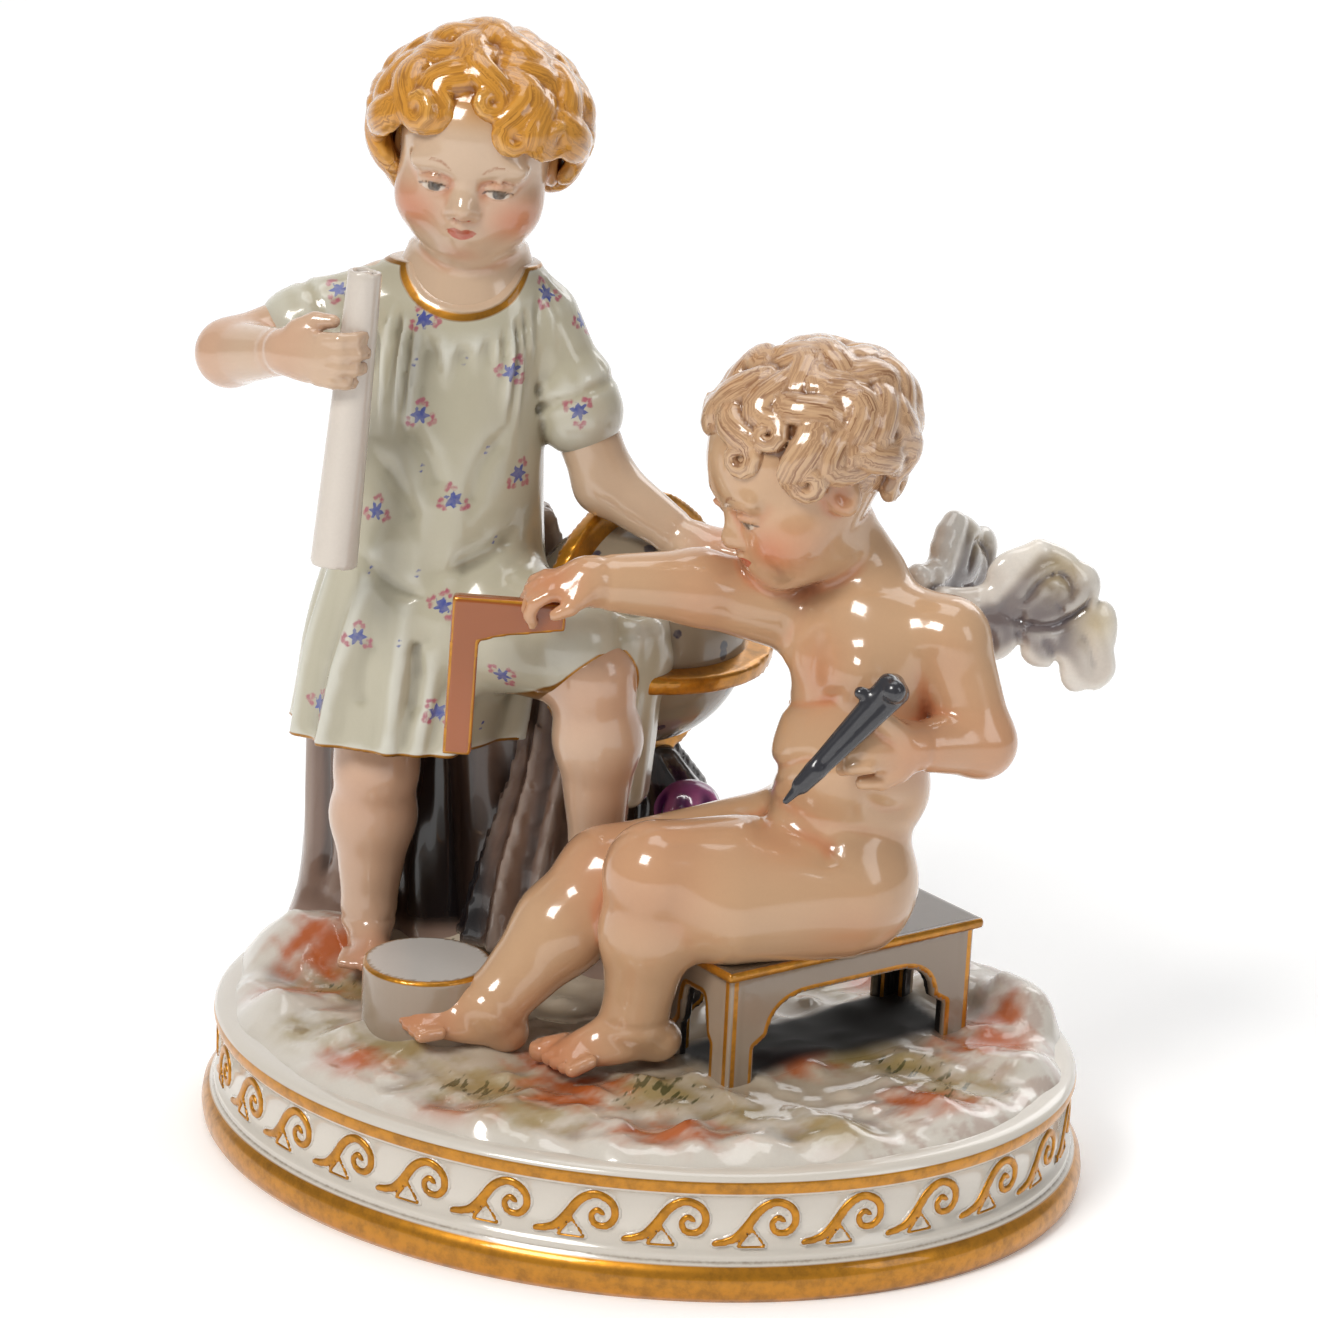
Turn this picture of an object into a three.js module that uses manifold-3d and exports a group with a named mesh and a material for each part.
// Porcelain figure group on an oval plinth: a standing child in a sprigged dress holds a paper roll and
// rests a hand on a globe, and a seated winged child on a stool holds a square and a pair of dividers.
// Everything is modelled as seen from the front, in millimetres: x to the right, y away, z up from the
// plinth's underside. The whole is then turned so that the oval's long axis lies on x.
import * as THREE from 'three';
import Module from 'manifold-3d';
import { mergeVertices } from 'three/addons/utils/BufferGeometryUtils.js';

// Driving sizes
const OVAL = { a: 72.0, b: 60.5, turn: -19.6 };
const PLINTH_ROWS = [
    [0, 1.0], [1.2, 1.012], [4.6, 1.012], [6.2, 0.992],
    [7.4, 0.975], [16.8, 0.972], [18.4, 0.99], [20.2, 0.972],
];
const PLINTH_SIDES = 72;
const MOUND = { low: 14.5, rim: 19.0, rise: 3.4, edge: 5.0, fit: 0.955 };
const LUMPS = [
    { at: [-36, -17, 15.5], r: [22, 17, 9.5], turn: 0 },
    { at: [-52, 20, 17], r: [15, 13, 12], turn: 0 },
    { at: [-30, 26, 16], r: [22, 15, 12], turn: 0 },
    { at: [52, 14, 18], r: [12, 9, 9], turn: 20 },
    { at: [61, 4, 20], r: [6, 8, 8.5], turn: 30 },
    { at: [20, 38, 14], r: [30, 15, 11], turn: 0 },
    { at: [28, -44, 15.5], r: [12, 5, 7], turn: -10 },
    { at: [44, -38, 15], r: [12, 5, 7], turn: 20 },
    { at: [8, -50, 15.5], r: [10, 5, 6.5], turn: 0 },
    { at: [-44, -26, 15], r: [11, 7, 7], turn: 40 },
    { at: [-56, -8, 17], r: [8, 9, 7], turn: 0 },
    { at: [60, -16, 16], r: [7, 7, 8], turn: 0 },
    { at: [-14, -45, 14.5], r: [12, 7, 7], turn: 0 },
];
const DRUM = { at: [-34.2, -14.7], r: 10.3, low: 20, top: 34.3, sides: 36 };
const STOOL = {
    at: [27.4, -8.8], turn: 36.5, length: 48.5, depth: 19.0, top: 41.0, low: 20,
    board: 1.8, lip: 1.2, leg: 5.2, apron: 4.6, wall: 2.4,
};
const GLOBE = { at: [-4.0, 20.0, 80.0], r: 18.7, ring: 22.6, thick: 3.0 };
const SCROLL = { top: [-47.2, -8.5, 143.0], low: [-51.0, -8.5, 96.5], thin: 2.6, wide: 3.7 };
const SQUARE = { corner: [-31.9, -17.0, 95.2], leg: 25.5, arm: 17.5, width: 4.4, thick: 2.8, lean: -2.0 };
const DIVIDERS = {
    head: [35.2, -34.2, 88.6], tip: [20.0, -36.4, 70.8], wide: 4.4, narrow: 1.4, thick: 2.4,
};
const PURPLE_CLOTH = { at: [6, 13, 51.5], r: [5.8, 5, 5.2] };

// Joints of the standing child and of the seated one
const CHILD = {
    neck: [-33.2, 13.5, 138], neckTop: [-32.4, 13, 147],
    shoulderR: [-45.5, 14.5, 134.5], elbowR: [-69.3, 8, 125.4], wristR: [-58.6, -7.6, 129.6],
    shoulderL: [-20.5, 15, 131.5], elbowL: [-9.8, 13, 106.0], wristL: [3.5, 7, 98.6],
    hipR: [-45, 15, 80], kneeR: [-45.0, 12.5, 57.0], ankleR: [-45.8, 13.5, 31.0],
    hipL: [-31, 13, 82], kneeL: [-10.3, -3, 79.0], ankleL: [-8.6, 1.5, 48.5],
};
const CUPID = {
    neck: [31.5, -10, 99.5], neckTop: [27.5, -10.5, 106],
    chest: [32, -12.5, 84], belly: [29.6, -14.4, 71], pelvis: [29.4, -10, 54.5],
    shoulderL: [44.0, -18.0, 92.0], elbowL: [49.8, -21, 76.6], wristL: [38.5, -28.5, 77.8],
    shoulderR: [24.0, -6.0, 91.0], elbowR: [5.5, -10, 96.0], wristR: [-11.5, -16, 97.8],
    hipL: [30.5, -15, 51.0], kneeL: [1.2, -25.5, 54.3], ankleL: [-1.0, -24.5, 30.0],
    hipR: [25.5, -5, 52.5], kneeR: [-6.5, -12.5, 49.0], ankleR: [-23.5, -21, 29.5],
};
// Each wing's root and span, and how far it leans back over its root; the outline and the feather lobes
// are x along the span and z up
const WINGS = [
    { root: [46.8, -5.0, 93.8], span: [1, 0.25, 0.02], lean: 0 },
    { root: [41.6, -2.0, 96.8], span: [0.5, 0.86, -0.08], lean: 0.55 },
];
const WING_SIZE = 1.08;
const WING_MIDDLE = [10, -0.5];
const WING_EDGE = [
    [-2.5, 2.0], [3.5, 1.9], [7.6, 6.2], [11.2, 8.9], [15.6, 7.6], [18.8, 3.8], [22.2, -4.6], [24.0, -10.8],
    [21.2, -13.9], [17.6, -12.4], [14.9, -9.3], [13.2, -10.1], [10.4, -9.0], [8.2, -6.8], [5.0, -8.4],
    [0.5, -9.6], [-2.5, -8.5],
];
const WING_LOBES = [
    { at: [10.4, 2.6], r: [7.2, 2.6, 5.4], turn: 20 }, { at: [16.4, 1.6], r: [4.6, 2.4, 4.2], turn: -30 },
    { at: [19.6, -7.2], r: [3.9, 1.9, 7.2], turn: 18 }, { at: [12.6, -4.6], r: [3.6, 1.9, 5.4], turn: 12 },
    { at: [4.6, -4.2], r: [4.6, 1.9, 4.6], turn: 0 },
];
// Dress rows: height, middle x and y, half width, half depth
const DRESS_ROWS = [
    [62.5, -41.5, 14.0, 17.0, 13.6], [76, -39.6, 13.9, 17.4, 14.0], [94, -36.3, 13.4, 17.2, 13.8],
    [104, -35.2, 13.0, 16.2, 13.2], [114, -34.4, 12.9, 15.2, 12.2], [129, -33.4, 13.2, 15.0, 11.0],
    [136, -33.2, 13.8, 13.4, 9.6], [139, -33.0, 14.2, 12.0, 8.6], [143, -32.8, 14.4, 9.8, 7.4],
];
// The stump, the heap under the globe and the cloth between the legs, in rows of the same kind
const STUMP = {
    rows: [[14, -38, 31, 21, 13], [40, -37.5, 31, 20.5, 11.5], [70, -37, 31, 20.5, 10.5],
        [90, -34.5, 31, 18, 9], [97, -31, 31, 12, 6.5]],
    folds: { deep: 0.9, count: 9, twist: 0.02 }, blend: 2,
};
const HEAP = {
    rows: [[14, -2, 26, 19, 14], [40, -3, 25, 15, 11.5], [52, -2, 24, 11, 9], [60, -4, 22, 7, 6]],
    folds: { deep: 0.9, count: 7, twist: 0.05 }, blend: 4,
};
const DRAPE = {
    rows: [[27, -20, 14, 11, 7], [40, -18.5, 15, 9.5, 6], [56, -15, 17, 8, 5.5], [70, -13, 19, 7.5, 5]],
    folds: { deep: 0.7, count: 10, twist: 0.06 }, blend: 4,
};
const FOLDS = { deep: 0.9, count: 11, top: 104, fall: 40 };

// Heads: place, turn as yaw, pitch and roll in degrees, size against a head 33 mm high
const CHILD_HEAD = { at: [-31.7, 11.0, 161.0], turn: [-4, 14, 5], size: 1.0 };
const CUPID_HEAD = { at: [20.4, -12, 118.0], turn: [-70, 25, -2], size: 1.04 };
const HAIR = { at: [0, 2.2, 2.6], r: [12.6, 14.6, 12.2] };
const LOCK_BLEND = 2.0;
const CHILD_HAIR = { seed: 3, count: 50, thick: 1.75, puff: 2.6, front: 36, open: 40, slope: 1.6, low: -26 };
const CUPID_HAIR = { seed: 5, count: 60, thick: 1.55, puff: 0.6, front: 42, open: 45, slope: 1.5, low: -24 };

// Fineness of the modelled surface
const CLAY_STEP = 1.3;
const CLAY_TRIANGLES = 7800;
const ALL_TRIANGLES = 9800;
const FAR = 40;

// Small vectors
const radians = (degrees) => degrees * Math.PI / 180;
const plus = (a, b) => [a[0] + b[0], a[1] + b[1], a[2] + b[2]];
const minus = (a, b) => [a[0] - b[0], a[1] - b[1], a[2] - b[2]];
const times = (a, s) => [a[0] * s, a[1] * s, a[2] * s];
const dot = (a, b) => a[0] * b[0] + a[1] * b[1] + a[2] * b[2];
const cross = (a, b) => [
    a[1] * b[2] - a[2] * b[1], a[2] * b[0] - a[0] * b[2], a[0] * b[1] - a[1] * b[0],
];
const unit = (a) => times(a, 1 / Math.sqrt(dot(a, a)));
const mix = (a, b, t) => plus(times(a, 1 - t), times(b, t));
const clamp = (v, low, high) => Math.min(Math.max(v, low), high);
const chance = (i, seed) => {
    const v = Math.sin(i * 127.1 + seed * 311.7) * 43758.5453;
    return v - Math.floor(v);
};

// A turn is three axes, each a vector
const STRAIGHT = [[1, 0, 0], [0, 1, 0], [0, 0, 1]];
function spin(yaw, pitch = 0, roll = 0) {
    const turned = new THREE.Matrix4().makeRotationFromEuler(
        new THREE.Euler(radians(pitch), radians(roll), radians(yaw), 'ZXY'));
    const e = turned.elements;
    return [[e[0], e[1], e[2]], [e[4], e[5], e[6]], [e[8], e[9], e[10]]];
}
function frameOf(along, hint) {
    const x = unit(along);
    const z = unit(minus(hint, times(x, dot(hint, x))));
    return [x, cross(z, x), z];
}

// A place to build in: local millimetres, sized, turned and moved
class Place {
    constructor(at, turn = STRAIGHT, size = 1) {
        this.origin = at;
        this.turn = turn;
        this.size = size;
    }
    at(p) {
        const [x, y, z] = this.turn;
        const s = this.size;
        return plus(this.origin, plus(plus(times(x, p[0] * s), times(y, p[1] * s)), times(z, p[2] * s)));
    }
    limb(a, b, ra, rb) {
        return limb(this.at(a), this.at(b), ra * this.size, rb * this.size);
    }
    ball(c, r) {
        return this.egg(c, [r, r, r]);
    }
    egg(c, r) {
        return egg(this.at(c), times(r, this.size), this.turn);
    }
}

// Solid shapes: each has a box and a signed distance, negative inside
function limb(a, b, ra, rb) {
    const ab = minus(b, a);
    const square = dot(ab, ab) + 1e-9;
    return {
        low: a.map((v, i) => Math.min(v - ra, b[i] - rb)),
        high: a.map((v, i) => Math.max(v + ra, b[i] + rb)),
        at(x, y, z) {
            const px = x - a[0];
            const py = y - a[1];
            const pz = z - a[2];
            const t = clamp((px * ab[0] + py * ab[1] + pz * ab[2]) / square, 0, 1);
            return Math.hypot(px - t * ab[0], py - t * ab[1], pz - t * ab[2]) - (ra + t * (rb - ra));
        },
    };
}

function egg(c, r, turn = STRAIGHT) {
    const reach = [0, 1, 2].map((i) => Math.hypot(turn[0][i] * r[0], turn[1][i] * r[1], turn[2][i] * r[2]));
    return {
        low: minus(c, reach),
        high: plus(c, reach),
        at(x, y, z) {
            const p = [x - c[0], y - c[1], z - c[2]];
            const u = dot(p, turn[0]) / r[0];
            const v = dot(p, turn[1]) / r[1];
            const w = dot(p, turn[2]) / r[2];
            const near = Math.hypot(u, v, w);
            const slope = Math.max(Math.hypot(u / r[0], v / r[1], w / r[2]), 1e-4);
            return near * (near - 1) / slope;
        },
    };
}

function rowAt(rows, z) {
    let i = 0;
    while (i < rows.length - 2 && z > rows[i + 1][0]) i += 1;
    const t = clamp((z - rows[i][0]) / (rows[i + 1][0] - rows[i][0]), 0, 1);
    return rows[i].map((v, k) => v + t * (rows[i + 1][k] - v));
}

const FOLD_ROOM = 4;
const least = (rows, column) => Math.min(...rows.map((row) => row[column]));
const most = (rows, column) => Math.max(...rows.map((row) => row[column]));

function loft(rows, ripple) {
    const last = rows[rows.length - 1];
    const wide = most(rows, 3) + FOLD_ROOM;
    const deep = most(rows, 4) + FOLD_ROOM;
    return {
        low: [least(rows, 1) - wide, least(rows, 2) - deep, rows[0][0]],
        high: [most(rows, 1) + wide, most(rows, 2) + deep, last[0]],
        at(x, y, z) {
            const row = rowAt(rows, z);
            const u = (x - row[1]) / row[3];
            const v = (y - row[2]) / row[4];
            const near = Math.hypot(u, v);
            const slope = Math.max(Math.hypot(u / row[3], v / row[4]), 1e-4);
            const side = near * (near - 1) / slope - ripple(Math.atan2(v, u), z);
            return Math.max(side, z - last[0], rows[0][0] - z);
        },
    };
}

// The oval's factor at a point: 1 on the plinth's full outline
function ovalFactor(x, y) {
    const turn = radians(OVAL.turn);
    const u = x * Math.cos(turn) + y * Math.sin(turn);
    const v = y * Math.cos(turn) - x * Math.sin(turn);
    return Math.hypot(u / OVAL.a, v / OVAL.b);
}

// The ground: a low wavy crust that rounds over at the plinth's rim
function crust() {
    return {
        low: [-OVAL.a, -OVAL.a, MOUND.low],
        high: [OVAL.a, OVAL.a, MOUND.rim + MOUND.rise + 2],
        at(x, y, z) {
            const k = ovalFactor(x, y);
            const inward = clamp((MOUND.fit - k) * OVAL.b / MOUND.edge, 0, 1);
            const wave = 0.5 * Math.sin(x * 0.17 + 1) * Math.cos(y * 0.21)
                + 0.3 * Math.sin(x * 0.11 - y * 0.23);
            const height = MOUND.rim + inward * (2 - inward) * (MOUND.rise + wave);
            return Math.max((z - height) * 0.85, (k - MOUND.fit) * OVAL.b, MOUND.low - z);
        },
    };
}

// What lies below the ground's crust, or beside the plinth and lower than its rim
function outsideRim() {
    return {
        low: [-OVAL.a * 2, -OVAL.a * 2, 0],
        high: [OVAL.a * 2, OVAL.a * 2, MOUND.rim],
        at(x, y, z) {
            const beside = Math.max(z - MOUND.rim - 0.4, (MOUND.fit - ovalFactor(x, y)) * OVAL.b);
            return Math.min(z - MOUND.low, beside);
        },
    };
}

// Clay: a grid of distances that shapes are pressed into, joined softly
class Clay {
    constructor(low, high, step) {
        this.low = low;
        this.step = step;
        this.count = low.map((v, i) => Math.ceil((high[i] - v) / step) + 1);
        this.values = new Float32Array(this.count[0] * this.count[1] * this.count[2]).fill(FAR);
    }
    press(shape, blend, join) {
        const margin = blend + 2 * this.step;
        const from = this.low.map((v, i) => Math.max(0, Math.floor((shape.low[i] - margin - v) / this.step)));
        const to = this.low.map((v, i) => Math.min(this.count[i] - 1,
            Math.ceil((shape.high[i] + margin - v) / this.step)));
        for (let i = from[0]; i <= to[0]; i += 1) {
            for (let j = from[1]; j <= to[1]; j += 1) {
                for (let k = from[2]; k <= to[2]; k += 1) {
                    const spot = (i * this.count[1] + j) * this.count[2] + k;
                    const d = shape.at(this.low[0] + i * this.step, this.low[1] + j * this.step,
                        this.low[2] + k * this.step);
                    this.values[spot] = join(this.values[spot], d, blend);
                }
            }
        }
    }
    add(shape, blend = 0) {
        this.press(shape, blend, softLeast);
    }
    cut(shape, blend = 0) {
        this.press(shape, blend, (a, b, k) => -softLeast(-a, b, k));
    }
}
function softLeast(a, b, k) {
    if (k <= 0) return Math.min(a, b);
    const h = Math.max(k - Math.abs(a - b), 0) / k;
    return Math.min(a, b) - h * h * k / 4;
}

// Bare feet and hands. The big toe, and the thumb, lie at +y when side is 1.
function foot(clay, ankle, toes, up, size, side) {
    const p = new Place(ankle, frameOf(toes, up), size);
    clay.add(p.limb([-2.6, 0, -3.0], [0.5, 0, 0.3], 3.3, 4.0), 2.5);
    clay.add(p.egg([-3.2, 0, -3.6], [3.6, 3.2, 3.0]), 1.5);
    clay.add(p.limb([0.2, 0, -1.2], [7.2, 0.5 * side, -3.9], 3.7, 2.6), 2.0);
    clay.add(p.egg([4.5, 0, -4.4], [6.4, 3.7, 2.1]), 1.5);
    clay.add(p.egg([9.0, 0.3 * side, -4.7], [3.2, 4.4, 1.9]), 1.2);
    for (let toe = 0; toe < 5; toe += 1) {
        const y = side * (3.3 - 1.9 * toe);
        const r = toe === 0 ? 1.8 : 1.38 - 0.07 * toe;
        clay.add(p.limb([9.2 - 0.4 * toe, y * 0.9, -4.4], [12.9 - 0.62 * toe, y, -5.2], r, r), 1.2);
    }
}

function hand(clay, wrist, fingers, back, size, side, curl) {
    const p = new Place(wrist, frameOf(fingers, back), size);
    const lengths = [2.9, 3.1, 2.9, 2.4];
    clay.add(p.limb([-1.5, 0, 0], [1.5, 0, 0], 3.1, 2.9), 1.8);
    clay.add(p.egg([4.0, 0, -0.2], [5.6, 4.3, 2.5]), 1.6);
    for (let finger = 0; finger < 4; finger += 1) {
        let q = [7.4 - (finger === 3 ? 0.5 : 0), side * (3.0 - 2.0 * finger), 0.1];
        let bend = 0;
        for (let bone = 0; bone < 3; bone += 1) {
            bend += radians(curl[bone]);
            const reach = lengths[finger] * [1.0, 0.8, 0.7][bone];
            const way = [Math.cos(bend), 0.06 * side * (1.5 - finger), -Math.sin(bend)];
            const next = plus(q, times(way, reach));
            clay.add(p.limb(q, next, 1.35 - 0.08 * bone, 1.27 - 0.08 * bone), 1.6);
            q = next;
        }
    }
    clay.add(p.limb([1.5, 3.6 * side, -0.5], [4.0, 5.4 * side, -1.5], 2.0, 1.5), 1.2);
    clay.add(p.limb([4.0, 5.4 * side, -1.5], [6.8, 5.6 * side, -2.6], 1.5, 1.2), 0.3);
}

// A child's head that faces -y: round skull, full cheeks, small nose and chin
function head(clay, p) {
    clay.add(p.egg([0, 1.8, 1.6], [12.2, 14.2, 11.9]), 0);
    clay.add(p.egg([0, -4.6, 2.6], [10.8, 9.0, 8.6]), 3);
    clay.add(p.egg([0, -3.6, -6.0], [10.9, 9.8, 9.6]), 4);
    clay.add(p.egg([0, -8.9, -13.4], [4.2, 3.4, 3.1]), 3);
    clay.add(p.egg([0, -4.6, -12.7], [8.3, 7.6, 4.3]), 3.5);
    clay.add(p.egg([0, -11.8, -9.8], [3.8, 2.0, 3.0]), 2.5);
    for (const s of [-1, 1]) {
        clay.add(p.egg([s * 5.8, -7.4, -8.0], [5.3, 5.1, 4.9]), 3.5);
        clay.add(p.egg([s * 4.9, -12.2, -0.1], [3.8, 1.2, 1.0]), 1.6);
        clay.cut(p.egg([s * 4.9, -14.1, -2.9], [3.1, 2.0, 1.7]), 1.4);
        clay.add(p.egg([s * 4.8, -10.6, -3.0], [2.7, 2.7, 2.3]), 0.4);
        clay.add(p.ball([s * 1.55, -13.7, -6.9], 1.15), 0.6);
        clay.add(p.egg([s * 12.0, 0.6, -3.4], [1.5, 2.7, 3.7]), 0.8);
    }
    clay.add(p.limb([0, -12.4, -2.6], [0, -14.4, -6.0], 1.0, 1.45), 1.8);
    clay.add(p.ball([0, -14.7, -6.4], 1.6), 0.8);
    clay.add(p.limb([-1.6, -13.4, -10.1], [1.6, -13.4, -10.1], 1.2, 1.2), 0.6);
}

// Hair: locks wind down from the crown over the hair's egg, each ending in a curl.
// Longitude 0 faces forward, 90 the child's left; latitude 90 is the crown.
function onHair(longitude, latitude, lift) {
    const a = radians(longitude);
    const b = radians(latitude);
    const way = [Math.sin(a) * Math.cos(b), -Math.cos(a) * Math.cos(b), Math.sin(b)];
    return way.map((v, i) => HAIR.at[i] + v * (HAIR.r[i] + lift));
}
function hairEdge(style, longitude) {
    const side = Math.abs(longitude);
    if (side < style.open) return style.front;
    return Math.max(style.front - (side - style.open) * style.slope, style.low);
}
function lock(clay, p, style, index) {
    const share = (index + 0.5) / style.count;
    const latitude = THREE.MathUtils.radToDeg(Math.asin(1 - share * 1.58));
    const longitude = (index * 137.508) % 360 - 180;
    if (latitude < hairEdge(style, longitude)) return;
    const hand = chance(index, style.seed) < 0.5 ? -1 : 1;
    const sway = hand * (13 + 9 * chance(index, style.seed + 1));
    const thick = style.thick * (0.85 + 0.3 * chance(index, style.seed + 2));
    const path = [];
    for (let step = 0; step <= 6; step += 1) {
        const f = step / 6;
        const down = Math.min(latitude + 14 - 31 * f, 89);
        const narrow = Math.max(Math.cos(radians(down)), 0.35);
        const across = longitude + sway * Math.sin(Math.PI * 1.3 * f) / narrow;
        const low = THREE.MathUtils.smoothstep(45 - down, 0, 40);
        const puff = style.puff * Math.abs(Math.sin(radians(across))) * low;
        path.push(onHair(across, down, 0.1 + 0.5 * Math.sin(Math.PI * f) + 0.7 * f + puff));
    }
    const end = path[6];
    const along = unit(minus(path[6], path[5]));
    const out = unit(minus(end, HAIR.at));
    const aside = times(cross(out, along), hand);
    const curl = 1.7 + 0.7 * chance(index, style.seed + 3);
    for (let step = 1; step <= 4; step += 1) {
        const a = step * Math.PI * 0.42;
        const sideways = times(aside, 0.9 * curl * (1 - Math.cos(a)));
        const onward = times(along, 0.9 * curl * Math.sin(a));
        path.push(plus(end, plus(plus(sideways, onward), times(out, 0.5 * Math.sin(a / 2)))));
    }
    const width = (i) => thick * (i < 7 ? 0.75 + 0.25 * Math.sin(Math.PI * i / 6) : 0.8 - 0.09 * (i - 7));
    for (let i = 0; i < path.length - 1; i += 1) {
        clay.add(p.limb(path[i], path[i + 1], width(i), width(i + 1)), LOCK_BLEND);
    }
}
function hairyHead(clay, pose, style) {
    const p = new Place(pose.at, spin(...pose.turn), pose.size);
    head(clay, p);
    for (let index = 0; index < style.count; index += 1) lock(clay, p, style, index);
}

function child(clay) {
    const k = CHILD;
    clay.add(limb(k.shoulderR, k.elbowR, 5.6, 5.0), 0);
    clay.add(limb(k.elbowR, k.wristR, 5.2, 3.4), 2);
    clay.add(limb(k.shoulderL, k.elbowL, 5.4, 4.9), 1);
    clay.add(limb(k.elbowL, k.wristL, 5.0, 3.3), 2);
    hand(clay, k.wristR, [0.75, -0.65, 0.02], [-0.65, -0.75, 0.05], 0.98, 1, [22, 32, 42]);
    hand(clay, k.wristL, [1, -0.40, 0.10], [0.1, -0.25, 1], 0.95, -1, [12, 18, 18]);
    clay.add(limb(k.neck, k.neckTop, 8.4, 7.6), 4);
    const legs = [
        [k.hipR, k.kneeR, k.ankleR, [-0.5, 2, -9], 8.0], [k.hipL, k.kneeL, k.ankleL, [1.2, 1.5, -11], 8.6],
    ];
    for (const [hip, knee, ankle, calf, thigh] of legs) {
        const swell = plus(knee, calf);
        clay.add(limb(hip, knee, thigh, 6.6), 2);
        clay.add(limb(knee, swell, 6.4, 6.8), 2.5);
        clay.add(limb(swell, ankle, 6.7, 4.2), 2.5);
    }
    foot(clay, k.ankleR, [0.12, -1, 0], [0, 0, 1], 0.95, 1);
    foot(clay, k.ankleL, [0.25, -1, 0], [0, 0, 1], 0.95, -1);
    dress(clay, k);
}

function dress(clay, k) {
    const ripple = (angle, z) => FOLDS.deep * clamp((FOLDS.top - z) / FOLDS.fall, 0, 1)
        * Math.cos(FOLDS.count * angle + 0.6 * Math.sin(z * 0.09) + 0.8);
    clay.add(loft(DRESS_ROWS, ripple), 1.5);
    for (const [shoulder, elbow, inner, full, cuff] of [
        [k.shoulderR, k.elbowR, [2, 0, -1], 6.9, 6.6], [k.shoulderL, k.elbowL, [-1, 0, 0], 6.6, 7.2]]) {
        clay.add(limb(plus(shoulder, inner), mix(shoulder, elbow, 0.45), full, full - 0.5), 3);
        clay.add(limb(mix(shoulder, elbow, 0.42), mix(shoulder, elbow, 0.56), cuff, cuff - 0.1), 1);
    }
    // The skirt over the raised thigh, and its folds falling beside the knee
    clay.add(limb([-33, 11, 84], [-14, -0.5, 83.5], 12.5, 9.2), 4);
    clay.add(limb([-15, 3, 82], [-4.5, 4, 80], 9.0, 7.0), 3);
    for (const [x, y] of [[0, 0], [-2.4, -2.6], [0.8, 3.0]]) {
        clay.add(limb([-2.2 + x, 0.5 + y, 85], [-3.8 + x, 1.5 + y, 58], 3.0, 2.5), 2.5);
    }
}

function cupid(clay) {
    const k = CUPID;
    const side = unit([0.62, -0.78, 0]);
    const front = unit([-0.80, -0.58, -0.1]);
    const torso = [side, cross([0, 0, 1], side), [0, 0, 1]];
    const by = (base, s, f, z) => plus(plus(base, times(side, s)), plus(times(front, f), [0, 0, z]));
    clay.add(egg(by(k.chest, 0, 0, 2), [12.6, 9.4, 11.6], torso), 0);
    clay.add(egg(by(k.chest, 0, 1, -6), [11.8, 9.6, 8], torso), 4);
    clay.add(egg(by(k.belly, 0, 0.6, 0), [11.8, 10.6, 10], torso), 4);
    clay.add(egg(by(k.belly, 0, -5.0, -5), [11.0, 8.5, 9.5], torso), 4);
    clay.add(egg(by(k.pelvis, 0, 0.5, 4), [12, 10, 10.5], torso), 5);
    for (const s of [-1, 1]) {
        clay.add(egg(by(k.pelvis, 4.5 * s, 1.2, -4.0), [8.8, 9.4, 9.2]), 4);
        clay.add(egg(by(k.chest, 5.2 * s, 7, 3.5), [5, 3.2, 4.2], torso), 3);
    }
    for (const shoulder of [k.shoulderL, k.shoulderR]) {
        clay.add(limb(plus(k.chest, [0, 0, 9]), shoulder, 7.5, 6.2), 3.5);
    }
    clay.add(limb(k.neck, k.neckTop, 6.0, 5.4), 3);
    clay.add(limb(k.shoulderL, k.elbowL, 6.3, 5.2), 2);
    clay.add(limb(k.elbowL, k.wristL, 5.4, 3.7), 2);
    clay.add(limb(k.shoulderR, k.elbowR, 6.6, 5.7), 2);
    clay.add(limb(k.elbowR, k.wristR, 5.9, 4.0), 2);
    hand(clay, k.wristL, [-4, -2.5, 0.7], [0.25, -0.9, 0.3], 1.0, 1, [45, 50, 40]);
    hand(clay, k.wristR, [-5.5, -1, -0.8], [-0.1, -0.35, 1], 1.0, 1, [14, 20, 30]);
    clay.add(limb([37.6, -30.4, 79.6], [33.4, -33.4, 83.8], 2.0, 1.6), 0.8);
    for (const [hip, knee, ankle, thigh, kneeR, share] of [
        [k.hipL, k.kneeL, k.ankleL, 11.8, 8.2, 0.4], [k.hipR, k.kneeR, k.ankleR, 10.8, 7.6, 0.4]]) {
        const swell = mix(knee, ankle, share);
        clay.add(limb(hip, knee, thigh, kneeR), 3);
        clay.add(limb(knee, swell, 7.2, 7.4), 2.5);
        clay.add(limb(swell, ankle, 7.2, 4.8), 2.5);
    }
    foot(clay, k.ankleL, [-1, -0.30, -0.02], [0, 0, 1], 1.1, -1);
    foot(clay, k.ankleR, [-1, -0.25, 0.28], [0.28, 0, 1], 1.05, -1);
    for (const { root, span, lean } of WINGS) {
        clay.add(limb([36.5, -8.5, 88], root, 3.0, 2.6), 1.5);
        wing(clay, root, span, lean);
    }
}

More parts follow.
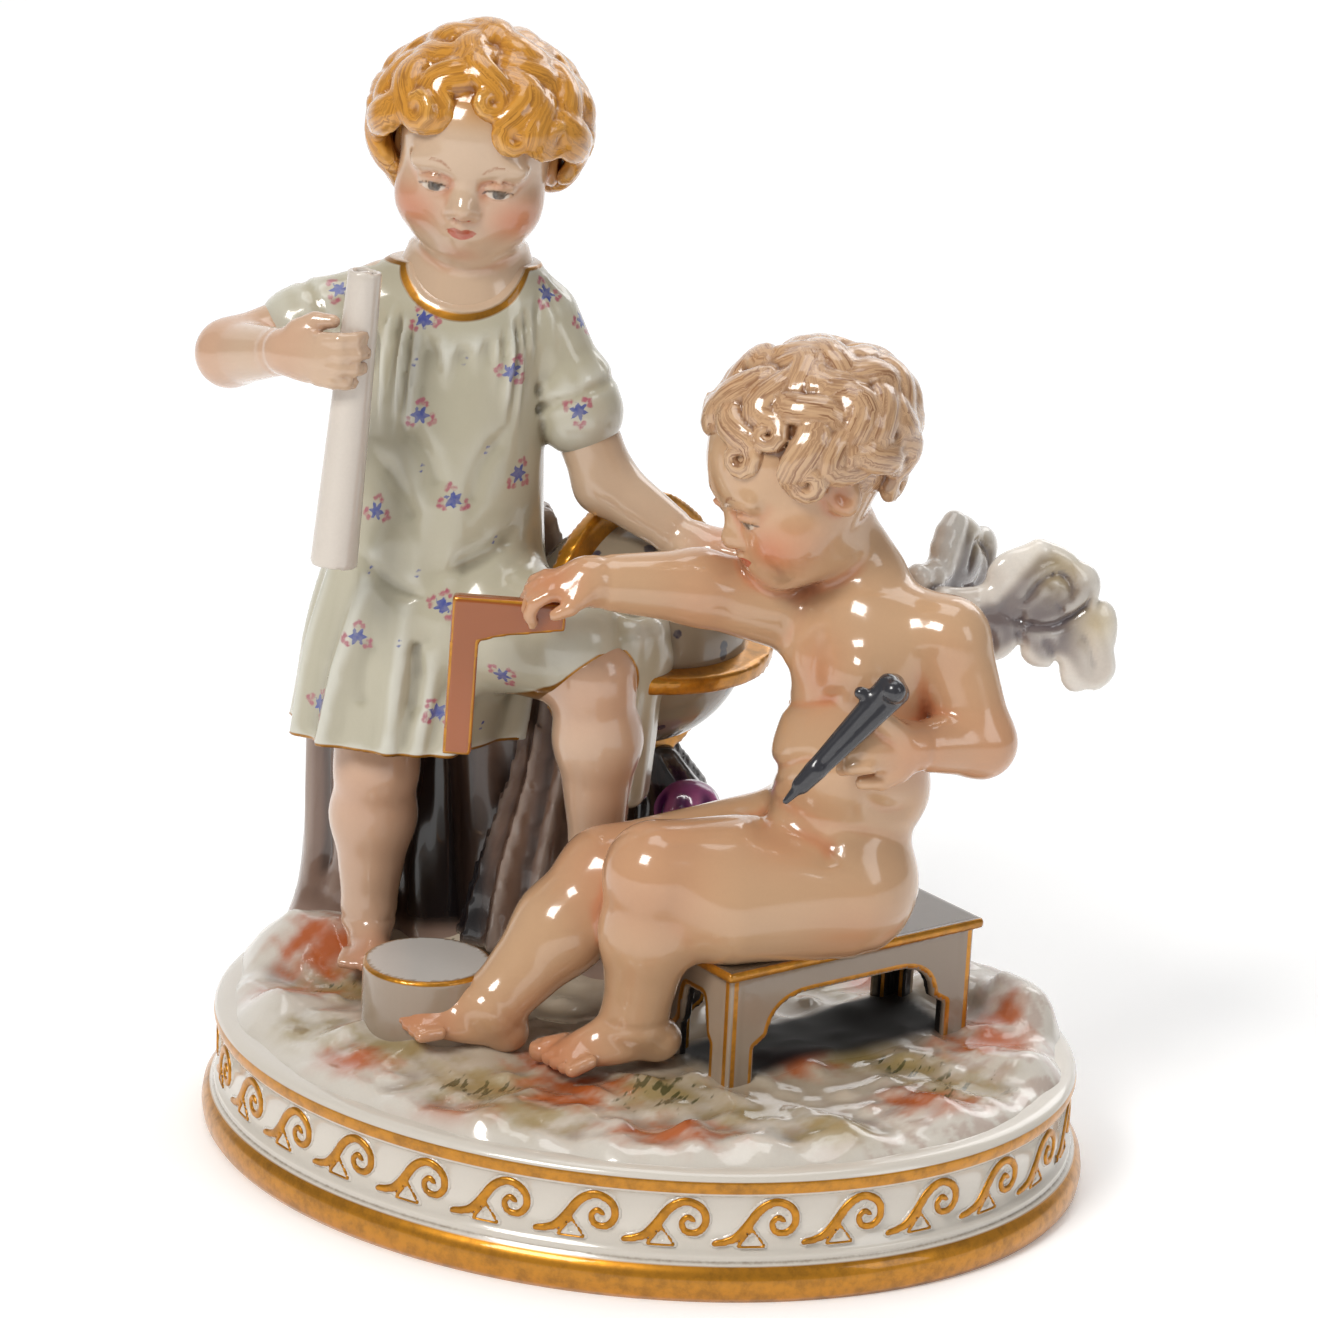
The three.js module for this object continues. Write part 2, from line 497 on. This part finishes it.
// A small wing: spokes run from its middle to its edge, and raised lobes of feathers lie over them
function wing(clay, root, span, lean) {
    const p = new Place(root, frameOf(span, [0, 0, 1]), WING_SIZE);
    const flat = ([x, z]) => [x - lean * z, 0, z];
    const corners = WING_EDGE.map((corner) => new THREE.Vector3(...flat(corner)));
    const edge = new THREE.CatmullRomCurve3(corners).getPoints(40).map((v) => v.toArray());
    const middle = flat(WING_MIDDLE);
    for (const tip of edge) {
        const inset = plus(tip, times(unit(minus(middle, tip)), 1.2));
        clay.add(p.limb(middle, inset, 1.5, 1.5), 0.8);
    }
    for (const { at, r, turn } of WING_LOBES) {
        const [x, , z] = flat(at);
        const tilt = radians(turn);
        const along = plus(times(p.turn[0], Math.cos(tilt)), times(p.turn[2], -Math.sin(tilt)));
        clay.add(egg(p.at([x, 0, z]), times(r, WING_SIZE), frameOf(along, p.turn[2])), 0.8);
    }
}

// The cloth-hung stump behind the child, and the lower heap of cloth that carries the globe
function stump(clay) {
    for (const { rows, folds, blend } of [STUMP, HEAP, DRAPE]) {
        const ripple = (angle, z) => folds.deep * Math.cos(folds.count * angle + folds.twist * z);
        clay.add(loft(rows, ripple), blend);
    }
    clay.add(limb([-53, 27, 20], [-51, 28, 29], 9, 6), 4);
    clay.add(egg(PURPLE_CLOTH.at, PURPLE_CLOTH.r), 0.5);
}

// The clay's surface: every grid cube is six tetrahedra round one diagonal, and each is cut by the surface
function skin(clay) {
    const [, ny, nz] = clay.count;
    const strides = [ny * nz, nz, 1];
    const orders = [[0, 1, 2], [0, 2, 1], [1, 0, 2], [1, 2, 0], [2, 0, 1], [2, 1, 0]];
    const points = [];
    const triangles = [];
    const known = new Map();
    const place = (n) => [
        clay.low[0] + Math.floor(n / strides[0]) * clay.step,
        clay.low[1] + Math.floor(n / nz) % ny * clay.step,
        clay.low[2] + n % nz * clay.step,
    ];
    const between = (a, b) => {
        const key = Math.min(a, b) * 4194304 + Math.abs(b - a);
        if (!known.has(key)) {
            const [m, n] = a < b ? [a, b] : [b, a];
            const t = clamp(clay.values[m] / (clay.values[m] - clay.values[n]), 0.06, 0.94);
            known.set(key, points.length);
            points.push(mix(place(m), place(n), t));
        }
        return known.get(key);
    };
    const face = (a, b, c, within) => {
        const normal = cross(minus(points[b], points[a]), minus(points[c], points[a]));
        const outward = dot(normal, minus(points[a], place(within))) > 0;
        triangles.push(outward ? [a, b, c] : [a, c, b]);
    };
    const tetrahedron = (corners) => {
        const inside = corners.filter((n) => clay.values[n] < 0);
        const outside = corners.filter((n) => clay.values[n] >= 0);
        if (inside.length === 1) face(...outside.map((n) => between(inside[0], n)), inside[0]);
        if (inside.length === 3) face(...inside.map((n) => between(n, outside[0])), inside[0]);
        if (inside.length === 2) {
            const ring = [[0, 0], [0, 1], [1, 1], [1, 0]].map(([i, j]) => between(inside[i], outside[j]));
            face(ring[0], ring[1], ring[2], inside[0]);
            face(ring[0], ring[2], ring[3], inside[0]);
        }
    };
    const corner = [0, 1, 2, 3, 4, 5, 6, 7].map((c) => (c & 1) * strides[0]
        + (c >> 1 & 1) * strides[1] + (c >> 2 & 1) * strides[2]);
    for (let i = 0; i < clay.count[0] - 1; i += 1) {
        for (let j = 0; j < ny - 1; j += 1) {
            for (let k = 0; k < nz - 1; k += 1) {
                const n = i * strides[0] + j * nz + k;
                let within = 0;
                for (const c of corner) within += clay.values[n + c] < 0 ? 1 : 0;
                if (within === 0 || within === 8) continue;
                for (const [p, q, r] of orders) {
                    const second = n + strides[p];
                    const third = second + strides[q];
                    tetrahedron([n, second, third, third + strides[r]]);
                }
            }
        }
    }
    return { points, triangles };
}

// Only the largest connected shell: loose bits and closed pockets are left out
function mainShell({ points, triangles }) {
    const leader = points.map((_, i) => i);
    const find = (i) => {
        let top = i;
        while (leader[top] !== top) top = leader[top];
        while (leader[i] !== top) [leader[i], i] = [top, leader[i]];
        return top;
    };
    for (const [a, b, c] of triangles) {
        leader[find(a)] = find(b);
        leader[find(b)] = find(c);
    }
    const sizes = new Map();
    for (const [a] of triangles) sizes.set(find(a), (sizes.get(find(a)) ?? 0) + 1);
    const largest = [...sizes].reduce((best, one) => (one[1] > best[1] ? one : best))[0];
    const kept = triangles.filter(([a]) => find(a) === largest);
    const index = new Map();
    const renumbered = kept.map((t) => t.map((v) => {
        if (!index.has(v)) index.set(v, index.size);
        return index.get(v);
    }));
    const level = ([x, y, z]) => [x, y, Math.abs(z) < 0.01 ? 0 : z];
    return { points: [...index.keys()].map((v) => level(points[v])), triangles: renumbered };
}

// Thinning: in rounds, the edges whose folding changes the surface least are folded together
const ROUND_SHARE = 0.10;
const STEADY = 0.004;
const MIN_TURN = 0.5;
const MIN_SHAPE = 0.03;
const SLIVER = 0.02;

const areaOf = (p, q, r) => cross(minus(q, p), minus(r, p));
const lengthOf = (v) => Math.sqrt(dot(v, v));
const facingOf = (faces, points) => faces.reduce(
    (sum, face) => plus(sum, areaOf(...face.map((v) => points[v]))), [0, 0, 0]);

function planeQuadric(p, q, r) {
    const normal = cross(minus(q, p), minus(r, p));
    const size = Math.sqrt(dot(normal, normal));
    const [a, b, c] = times(normal, 1 / (size + 1e-12));
    const d = -(a * p[0] + b * p[1] + c * p[2]);
    return [a * a, a * b, a * c, a * d, b * b, b * c, b * d, c * c, c * d, d * d].map((v) => v * size);
}
function foldTarget(q, p, r) {
    const middle = mix(p, r, 0.5);
    const weight = STEADY * (q[0] + q[4] + q[7]) + 1e-9;
    const rows = [[q[0] + weight, q[1], q[2]], [q[1], q[4] + weight, q[5]], [q[2], q[5], q[7] + weight]];
    const goal = [weight * middle[0] - q[3], weight * middle[1] - q[6], weight * middle[2] - q[8]];
    const whole = dot(rows[0], cross(rows[1], rows[2]));
    const parts = [[1, 2], [2, 0], [0, 1]].map(([m, n], i) => times(cross(rows[m], rows[n]), goal[i]));
    const spot = times(plus(plus(parts[0], parts[1]), parts[2]), 1 / whole);
    const [x, y, z] = spot;
    const error = q[0] * x * x + 2 * q[1] * x * y + 2 * q[2] * x * z + 2 * q[3] * x + q[4] * y * y
        + 2 * q[5] * y * z + 2 * q[6] * y + q[7] * z * z + 2 * q[8] * z + q[9];
    const span = minus(p, r);
    return { spot, cost: Math.max(error, 0) + 2e-4 * dot(span, span) };
}

function thin({ points, triangles }, wanted) {
    const spots = points.slice();
    const faces = triangles.map((t) => t.slice());
    const fans = spots.map(() => []);
    const quadrics = spots.map(() => new Array(10).fill(0));
    faces.forEach((face, f) => {
        const quadric = planeQuadric(...face.map((v) => spots[v]));
        for (const v of face) {
            fans[v].push(f);
            quadric.forEach((value, i) => { quadrics[v][i] += value; });
        }
    });
    const ring = (v) => new Set(fans[v].flatMap((f) => faces[f]).filter((w) => w !== v));
    const holds = (v, other, spot) => {
        const facing = facingOf(fans[v].map((f) => faces[f]), spots);
        return fans[v].every((f) => {
            if (faces[f].includes(other)) return true;
            const before = areaOf(...faces[f].map((w) => spots[w]));
            const moved = faces[f].map((w) => (w === v ? spot : spots[w]));
            const after = areaOf(...moved);
            const size = lengthOf(after);
            const oldSize = lengthOf(before);
            if (oldSize < SLIVER) return size >= oldSize && dot(after, facing) > 0;
            const sides = moved.map((p, i) => minus(p, moved[(i + 1) % 3]));
            const longest = Math.max(...sides.map((s) => dot(s, s)));
            return size > MIN_SHAPE * longest && dot(before, after) > MIN_TURN * size * oldSize;
        });
    };
    let alive = faces.length;
    while (alive > wanted) {
        const edges = [];
        faces.forEach((face) => {
            if (!face) return;
            for (let i = 0; i < 3; i += 1) {
                const a = face[i];
                const b = face[(i + 1) % 3];
                if (a > b) continue;
                const q = quadrics[a].map((value, k) => value + quadrics[b][k]);
                edges.push({ a, b, q, ...foldTarget(q, spots[a], spots[b]) });
            }
        });
        edges.sort((one, two) => one.cost - two.cost);
        const touched = new Uint8Array(spots.length);
        let quota = Math.ceil(edges.length * ROUND_SHARE);
        for (const { a, b, q, spot } of edges) {
            if (quota === 0 || alive <= wanted) break;
            if (touched[a] || touched[b]) continue;
            const near = ring(a);
            const far = ring(b);
            if ([...near].filter((v) => far.has(v)).length !== 2) continue;
            if (!holds(a, b, spot) || !holds(b, a, spot)) continue;
            for (const f of fans[b]) {
                if (faces[f].includes(a)) {
                    for (const v of faces[f]) {
                        if (v !== b) fans[v] = fans[v].filter((g) => g !== f);
                    }
                    faces[f] = null;
                    alive -= 1;
                } else {
                    faces[f] = faces[f].map((v) => (v === b ? a : v));
                    fans[a].push(f);
                }
            }
            fans[b] = [];
            spots[a] = spot;
            quadrics[a] = q;
            touched[a] = 1;
            for (const v of ring(a)) touched[v] = 1;
            quota -= 1;
        }
    }
    return mainShell({ points: spots, triangles: faces.filter((face) => face) });
}

// Mending: short edges fold away, needles swap their long edge, and where faces cross they fold away too
const SHORT = 0.3;
const NEEDLE = 0.06;
const MEND_ROUNDS = 12;
const FOLDED = 0.985;

function fansOf({ points, triangles }) {
    const fans = points.map(() => []);
    triangles.forEach((face, f) => face.forEach((v) => fans[v].push(f)));
    return fans;
}

function foldShort({ points, triangles }, troubled = new Set()) {
    const spots = points.slice();
    const faces = triangles.map((t) => t.slice());
    const fans = fansOf({ points, triangles });
    const ring = (v) => new Set(fans[v].flatMap((f) => faces[f]).filter((w) => w !== v));
    for (const face of faces.slice()) {
        for (let i = 0; i < 3; i += 1) {
            const [a, b] = [face[i], face[(i + 1) % 3]];
            const gone = !fans[a].some((f) => faces[f].includes(b));
            const crossed = troubled.has(a) && troubled.has(b);
            if (gone || (!crossed && lengthOf(minus(spots[a], spots[b])) > SHORT)) continue;
            const far = ring(b);
            if ([...ring(a)].filter((v) => far.has(v)).length !== 2) continue;
            const facing = facingOf(fans[b].map((f) => faces[f]), spots);
            const flips = fans[b].some((f) => {
                if (faces[f].includes(a)) return false;
                const before = areaOf(...faces[f].map((v) => spots[v]));
                const after = areaOf(...faces[f].map((v) => (v === b ? spots[a] : spots[v])));
                return dot(lengthOf(before) > SLIVER ? before : facing, after) < 0;
            });
            if (flips && !crossed) continue;
            for (const v of crossed ? [a, b] : []) troubled.delete(v);
            for (const f of fans[b]) {
                if (faces[f].includes(a)) {
                    for (const v of faces[f]) if (v !== b) fans[v] = fans[v].filter((g) => g !== f);
                    faces[f] = [];
                } else {
                    faces[f] = faces[f].map((v) => (v === b ? a : v));
                    fans[a].push(f);
                }
            }
            fans[b] = [];
            break;
        }
    }
    return mainShell({ points: spots, triangles: faces.filter((face) => face.length === 3) });
}

function swapNeedles({ points, triangles }) {
    const faces = triangles.map((t) => t.slice());
    const owners = new Map();
    const nameOf = (a, b) => `${Math.min(a, b)} ${Math.max(a, b)}`;
    faces.forEach((face, f) => face.forEach((a, i) => {
        const name = nameOf(a, face[(i + 1) % 3]);
        owners.set(name, [...(owners.get(name) ?? []), f]);
    }));
    const height = (face) => {
        const corners = face.map((v) => points[v]);
        const longest = Math.max(...corners.map((p, i) => lengthOf(minus(p, corners[(i + 1) % 3]))));
        return lengthOf(areaOf(...corners)) / Math.max(longest, 1e-9);
    };
    const handOver = (name, from, to) => owners.set(name, owners.get(name).map((g) => (g === from ? to : g)));
    const settled = new Set();
    faces.forEach((face, f) => {
        if (settled.has(f) || height(face) > NEEDLE) return;
        const spans = face.map((a, i) => lengthOf(minus(points[a], points[face[(i + 1) % 3]])));
        const i = spans.indexOf(Math.max(...spans));
        const [a, b, c] = [face[i], face[(i + 1) % 3], face[(i + 2) % 3]];
        const other = owners.get(nameOf(a, b)).find((g) => g !== f);
        if (other === undefined || settled.has(other)) return;
        const d = faces[other].find((v) => v !== a && v !== b);
        if (owners.has(nameOf(c, d))) return;
        const pair = [[a, d, c], [d, b, c]];
        if (Math.min(...pair.map(height)) <= height(face)) return;
        const facing = areaOf(...faces[other].map((v) => points[v]));
        if (pair.some((t) => dot(areaOf(...t.map((v) => points[v])), facing) < 0)) return;
        [faces[f], faces[other]] = pair;
        settled.add(f).add(other);
        owners.delete(nameOf(a, b));
        owners.set(nameOf(c, d), [f, other]);
        handOver(nameOf(a, d), other, f);
        handOver(nameOf(b, c), f, other);
    });
    return { points, triangles: faces };
}

// The corners of every pair of faces that cut through each other
function crossingCorners({ points, triangles }) {
    const boxes = triangles.map((face, f) => {
        const corners = face.map((v) => points[v]);
        return {
            f,
            low: [0, 1, 2].map((k) => Math.min(...corners.map((p) => p[k]))),
            high: [0, 1, 2].map((k) => Math.max(...corners.map((p) => p[k]))),
        };
    }).sort((one, two) => one.low[0] - two.low[0]);
    const pierces = (p, q, [a, b, c]) => {
        const way = minus(q, p);
        const u = minus(b, a);
        const v = minus(c, a);
        const h = cross(way, v);
        const whole = dot(u, h);
        if (Math.abs(whole) < 1e-12) return false;
        const s = minus(p, a);
        const first = dot(s, h) / whole;
        const g = cross(s, u);
        const second = dot(way, g) / whole;
        const along = dot(v, g) / whole;
        return first >= 0 && second >= 0 && first + second <= 1 && along >= 0 && along <= 1;
    };
    const found = new Set();
    boxes.forEach((one, i) => {
        for (let j = i + 1; j < boxes.length && boxes[j].low[0] <= one.high[0]; j += 1) {
            const two = boxes[j];
            if (one.low[1] > two.high[1] || two.low[1] > one.high[1]) continue;
            if (one.low[2] > two.high[2] || two.low[2] > one.high[2]) continue;
            const [s, t] = [triangles[one.f], triangles[two.f]];
            const [facing, other] = [s, t].map((face) => areaOf(...face.map((v) => points[v])));
            const folded = dot(facing, other) < -FOLDED * lengthOf(facing) * lengthOf(other)
                && s.filter((v) => t.includes(v)).length === 2;
            if (folded) for (const v of s) if (t.includes(v)) found.add(v);
            const cuts = (edges, face) => edges.some((a, k) => {
                const b = edges[(k + 1) % 3];
                if (face.includes(a) || face.includes(b)) return false;
                return pierces(points[a], points[b], face.map((v) => points[v]));
            });
            if (cuts(s, t) || cuts(t, s)) for (const v of [...s, ...t]) found.add(v);
        }
    });
    return found;
}

// Corners in trouble move to the middle of their neighbours
function relax({ points, triangles }, troubled) {
    const fans = fansOf({ points, triangles });
    const eased = points.map((p, v) => {
        if (!troubled.has(v) || p[2] < MOUND.low) return p;
        const near = [...new Set(fans[v].flatMap((f) => triangles[f]))].filter((w) => w !== v);
        return times(near.reduce((sum, w) => plus(sum, points[w]), [0, 0, 0]), 1 / near.length);
    });
    return { points: eased, triangles };
}

function mend(shell) {
    let best = swapNeedles(foldShort(shell));
    let trouble = crossingCorners(best);
    for (let round = 0; round < MEND_ROUNDS && trouble.size > 0; round += 1) {
        const folded = swapNeedles(foldShort(best, new Set(trouble)));
        const eased = foldShort(relax(best, trouble));
        const trials = [folded, eased].map((shape) => ({ shape, left: crossingCorners(shape) }));
        trials.sort((one, two) => one.left.size - two.left.size);
        best = trials[0].shape;
        trouble = trials[0].left;
    }
    return best;
}

// Solids to join, from the thinned clay and from plain geometry
const wasm = await Module();
wasm.setup();

function solidOf({ points, triangles }) {
    const sound = triangles.filter(([a, b, c]) => a !== b && b !== c && c !== a);
    const volume = sound.reduce((sum, [a, b, c]) => sum + dot(points[a], cross(points[b], points[c])), 0);
    const outward = volume > 0 ? sound : sound.map(([a, b, c]) => [a, c, b]);
    return new wasm.Manifold(new wasm.Mesh({
        numProp: 3,
        vertProperties: new Float32Array(points.flat()),
        triVerts: new Uint32Array(outward.flat()),
    }));
}

const inThrees = (list) => Array.from(
    { length: list.length / 3 },
    (_, i) => [...list.slice(3 * i, 3 * i + 3)],
);

function shapeOf(geometry, matrix = new THREE.Matrix4()) {
    const bare = geometry.clone().applyMatrix4(matrix);
    bare.deleteAttribute('normal');
    bare.deleteAttribute('uv');
    const merged = mergeVertices(bare, 1e-3);
    const at = merged.getAttribute('position');
    const points = Array.from({ length: at.count }, (_, i) => [at.getX(i), at.getY(i), at.getZ(i)]);
    const index = merged.getIndex().array;
    const triangles = inThrees(index);
    return solidOf({ points, triangles });
}

// A matrix whose y axis runs along a direction, set at a point
function upright(at, along) {
    const turn = new THREE.Quaternion().setFromUnitVectors(new THREE.Vector3(0, 1, 0),
        new THREE.Vector3(...unit(along)));
    return new THREE.Matrix4().compose(new THREE.Vector3(...at), turn, new THREE.Vector3(1, 1, 1));
}

function plinth() {
    const profile = [[0, 0], ...PLINTH_ROWS.map(([z, k]) => [k, z]), [0, PLINTH_ROWS.at(-1)[0]]];
    const turned = new THREE.LatheGeometry(profile.map(([k, z]) => new THREE.Vector2(k, z)), PLINTH_SIDES);
    const place = new THREE.Matrix4().makeRotationZ(radians(OVAL.turn));
    place.multiply(new THREE.Matrix4().makeScale(OVAL.a, OVAL.b, 1));
    place.multiply(new THREE.Matrix4().makeRotationX(Math.PI / 2));
    return shapeOf(turned, place);
}

function drum() {
    const height = DRUM.top - DRUM.low;
    const middle = [...DRUM.at, DRUM.low + height / 2];
    const post = new THREE.CylinderGeometry(DRUM.r, DRUM.r, height, DRUM.sides);
    return shapeOf(post, upright(middle, [0, 0, 1]));
}

// The stool: a top board with a small lip over four boards, each cut below by an ogee arch
function stoolBoard(long) {
    const half = long / 2;
    const under = STOOL.top - STOOL.board;
    const inner = half - STOOL.leg;
    const cusp = inner - Math.min(2.5, inner * 0.25);
    const flat = inner * 0.45;
    const shape = new THREE.Shape();
    shape.moveTo(-half, STOOL.low);
    shape.lineTo(-half, under);
    shape.lineTo(half, under);
    shape.lineTo(half, STOOL.low);
    shape.lineTo(inner, STOOL.low);
    shape.lineTo(inner, under - 12);
    shape.lineTo(cusp, under - 10.5);
    shape.quadraticCurveTo(cusp - 0.5, under - STOOL.apron, flat, under - STOOL.apron);
    shape.lineTo(-flat, under - STOOL.apron);
    shape.quadraticCurveTo(0.5 - cusp, under - STOOL.apron, -cusp, under - 10.5);
    shape.lineTo(-inner, under - 12);
    shape.lineTo(-inner, STOOL.low);
    shape.closePath();
    return new THREE.ExtrudeGeometry(shape, { depth: STOOL.wall, bevelEnabled: false, curveSegments: 4 });
}
function stool() {
    const place = new THREE.Matrix4().makeTranslation(STOOL.at[0], STOOL.at[1], 0);
    place.multiply(new THREE.Matrix4().makeRotationZ(radians(STOOL.turn)));
    const stand = new THREE.Matrix4().makeRotationX(Math.PI / 2);
    const lips = 2 * STOOL.lip;
    const top = new THREE.BoxGeometry(STOOL.length + lips, STOOL.depth + lips, STOOL.board);
    top.translate(0, 0, STOOL.top - STOOL.board / 2);
    const boards = [];
    for (const y of [-STOOL.depth / 2 + STOOL.wall, STOOL.depth / 2]) {
        boards.push(stoolBoard(STOOL.length).applyMatrix4(stand).translate(0, y, 0));
    }
    for (const x of [-STOOL.length / 2, STOOL.length / 2 - STOOL.wall]) {
        boards.push(stoolBoard(STOOL.depth).applyMatrix4(stand).rotateZ(Math.PI / 2).translate(x, 0, 0));
    }
    return boards.reduce((whole, board) => whole.add(shapeOf(board, place)), shapeOf(top, place));
}

function globe() {
    const ball = new THREE.SphereGeometry(GLOBE.r, 26, 16);
    const half = GLOBE.thick / 2;
    const section = [[GLOBE.r - 2, -half], [GLOBE.ring, -half], [GLOBE.ring, half], [GLOBE.r - 2, half]];
    const profile = [...section, section[0]].map((p) => new THREE.Vector2(...p));
    const ring = () => new THREE.LatheGeometry(profile, 44);
    return shapeOf(ball, upright(GLOBE.at, [0, 0, 1]))
        .add(shapeOf(ring(), upright(GLOBE.at, [0.10, -0.12, 1])))
        .add(shapeOf(ring(), upright(GLOBE.at, [0.75, -0.62, 0.1])));
}

function paperRoll() {
    const along = minus(SCROLL.top, SCROLL.low);
    const long = Math.sqrt(dot(along, along));
    const roll = new THREE.CylinderGeometry(SCROLL.thin, SCROLL.wide, long, 18);
    return shapeOf(roll, upright(mix(SCROLL.top, SCROLL.low, 0.5), along));
}

// A flat thing that stands facing the front: its outline lies in x and z from a point
function flatPiece(outline, at, thick) {
    const shape = new THREE.Shape(outline.map(([x, z]) => new THREE.Vector2(x, z)));
    const board = new THREE.ExtrudeGeometry(shape, { depth: thick, bevelEnabled: false });
    return shapeOf(board.translate(0, 0, -thick / 2).rotateX(Math.PI / 2).translate(...at));
}
function square() {
    const { leg, arm, width, lean } = SQUARE;
    return flatPiece([[0, 0], [arm, -0.4], [arm, -width - 1.2], [arm * 0.45, -width - 1.2], [width, -width],
        [width + lean, -leg], [lean, -leg]], SQUARE.corner, SQUARE.thick);
}
function dividers() {
    const along = minus(DIVIDERS.tip, DIVIDERS.head);
    const run = [along[0], along[2]];
    const long = Math.hypot(...run);
    const aside = [run[1] / long, -run[0] / long];
    const at = (share, out) => [run[0] * share + aside[0] * out, run[1] * share + aside[1] * out];
    const { wide, narrow } = DIVIDERS;
    return flatPiece([at(-0.03, 0.3 * wide), at(0.10, 0.55 * wide), at(0.9, narrow / 2), at(1, 0),
        at(0.9, -narrow / 2), at(0.10, -0.45 * wide), at(-0.03, -0.3 * wide)], DIVIDERS.head, DIVIDERS.thick);
}

function modelledForms() {
    const clay = new Clay([-80, -68, 12], [82, 60, 184], CLAY_STEP);
    clay.add(crust());
    for (const lump of LUMPS) clay.add(egg(lump.at, lump.r, spin(lump.turn)), 3.5);
    stump(clay);
    child(clay);
    hairyHead(clay, CHILD_HEAD, CHILD_HAIR);
    cupid(clay);
    hairyHead(clay, CUPID_HEAD, CUPID_HAIR);
    clay.cut(outsideRim());
    return solidOf(thin(mainShell(skin(clay)), CLAY_TRIANGLES));
}

function wholeGroup() {
    const pieces = [plinth(), drum(), stool(), globe(), paperRoll(), square(), dividers()];
    const joined = pieces.reduce((whole, piece) => whole.add(piece), modelledForms()).getMesh();
    const at = joined.vertProperties;
    const points = inThrees(at);
    const index = joined.triVerts;
    const triangles = inThrees(index);
    const shell = mend(thin(mainShell({ points, triangles }), ALL_TRIANGLES));
    const geometry = new THREE.BufferGeometry();
    geometry.setAttribute('position', new THREE.Float32BufferAttribute(shell.points.flat(), 3));
    geometry.setIndex(shell.triangles.flat());
    geometry.computeVertexNormals();
    return geometry;
}

const group = new THREE.Group();
const glaze = new THREE.MeshStandardMaterial({ color: 0xe9e4da, roughness: 0.12, metalness: 0 });
const figures = new THREE.Mesh(wholeGroup(), glaze);
figures.name = 'figure_group';
figures.rotation.z = radians(-OVAL.turn);
group.add(figures);

export default group;
